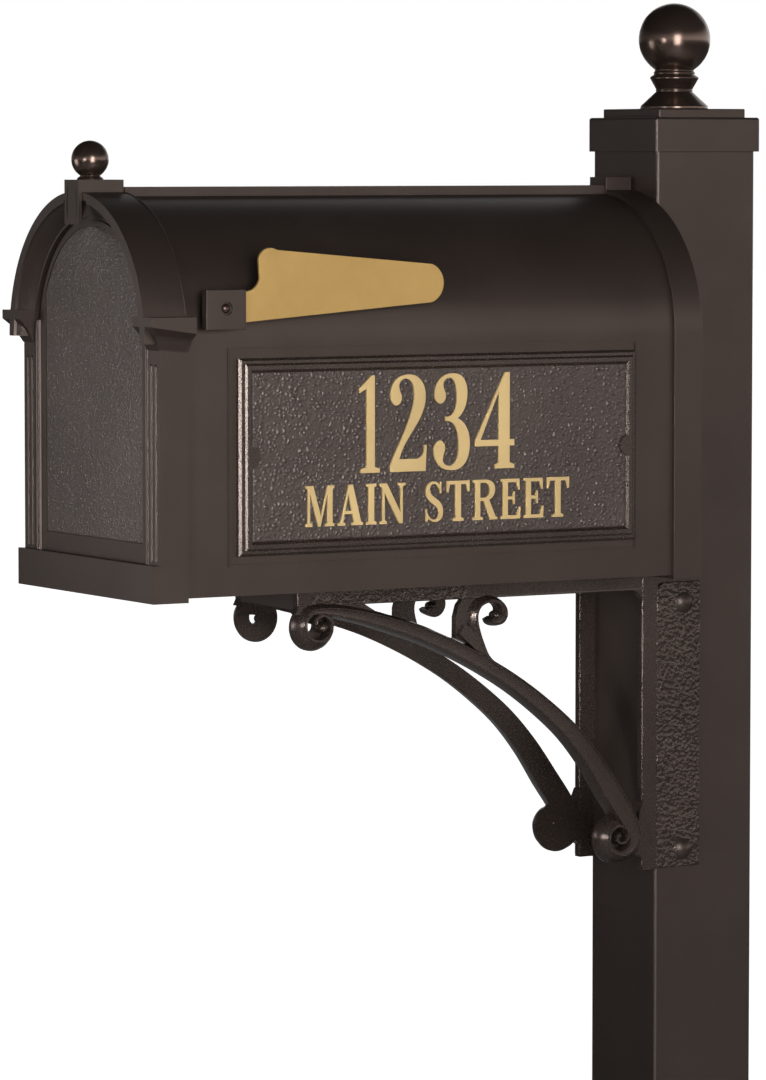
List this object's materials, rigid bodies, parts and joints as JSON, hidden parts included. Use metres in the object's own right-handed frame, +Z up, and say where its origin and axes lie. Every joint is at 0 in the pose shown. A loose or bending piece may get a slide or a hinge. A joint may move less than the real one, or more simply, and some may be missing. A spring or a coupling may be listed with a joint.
{
  "type": "post mounted roadside mailbox",
  "caption": "Single arched curbside mailbox on a square post: drop-down front door, pivoting signal flag, side address plaque, scrolled brackets, ball finials.",
  "frame": {"origin": "centre of the post's foot plate on the ground", "axes": "+Z up along the post, -Y towards the mailbox door, +X towards the flag and address plaque side"},
  "size_m": [0.2692, 0.6919, 1.5561],
  "materials": {
    "bronze_coat": "dark bronze powder coat, satin",
    "bright_bronze": "dark bronze, glossier, on the turned balls",
    "gold_paint": "gold paint, satin with fine grain",
    "zinc_steel": "zinc plated",
    "magnet": "ferrite, matt"
  },
  "bodies": {
    "post_and_box": {"foot_plate": "bronze_coat", "post_tube": "bronze_coat", "post_cap": "bronze_coat", "post_finial": "bright_bronze", "finial_stud": "zinc_steel", "finial_nut": "zinc_steel", "body_shell": "bronze_coat", "floor_pan": "bronze_coat", "floor_rivets": "zinc_steel", "rear_cap": "bronze_coat", "rear_cap_rivets": "zinc_steel", "post_screws": "zinc_steel", "post_nuts": "zinc_steel", "ridge_rail": "bronze_coat", "rail_rivets": "zinc_steel", "catch_bracket": "zinc_steel", "catch_rivets": "zinc_steel", "catch_magnet": "magnet", "bracket_right": "bronze_coat", "bracket_left": "bronze_coat", "bracket_bolts": "bronze_coat", "bracket_nuts": "zinc_steel", "mounting_plate": "bronze_coat", "floor_screws": "zinc_steel", "floor_nuts": "zinc_steel", "address_plaque": "bronze_coat", "plaque_studs": "zinc_steel", "plaque_nuts": "zinc_steel", "address_numerals": "gold_paint", "street_letters": "gold_paint", "flag_spacer": "bronze_coat", "flag_washer": "zinc_steel", "flag_pivot_screw": "bright_bronze", "flag_nut": "zinc_steel"},
    "door_leaf": {"door": "bronze_coat", "keystone_pull": "bronze_coat", "pull_screws": "zinc_steel", "door_finial": "bright_bronze", "door_finial_stud": "zinc_steel", "hinge_pin_right": "zinc_steel", "hinge_pin_left": "zinc_steel", "strike_plate": "zinc_steel", "strike_rivets": "zinc_steel"},
    "signal_flag": {"flag_hub": "bronze_coat", "flag_blade": "gold_paint"}
  },
  "joints": [
    {"name": "door_hinge", "type": "hinge", "parent": "post_and_box", "child": "door_leaf", "pos_m": [0, -0.554, 1.076], "axis": [1, 0, 0], "range_deg": [0, 90]},
    {"name": "flag_hinge", "type": "hinge", "parent": "post_and_box", "child": "signal_flag", "pos_m": [0.13, -0.5188, 1.301], "axis": [1, 0, 0], "range_deg": [0, 90]}
  ]
}
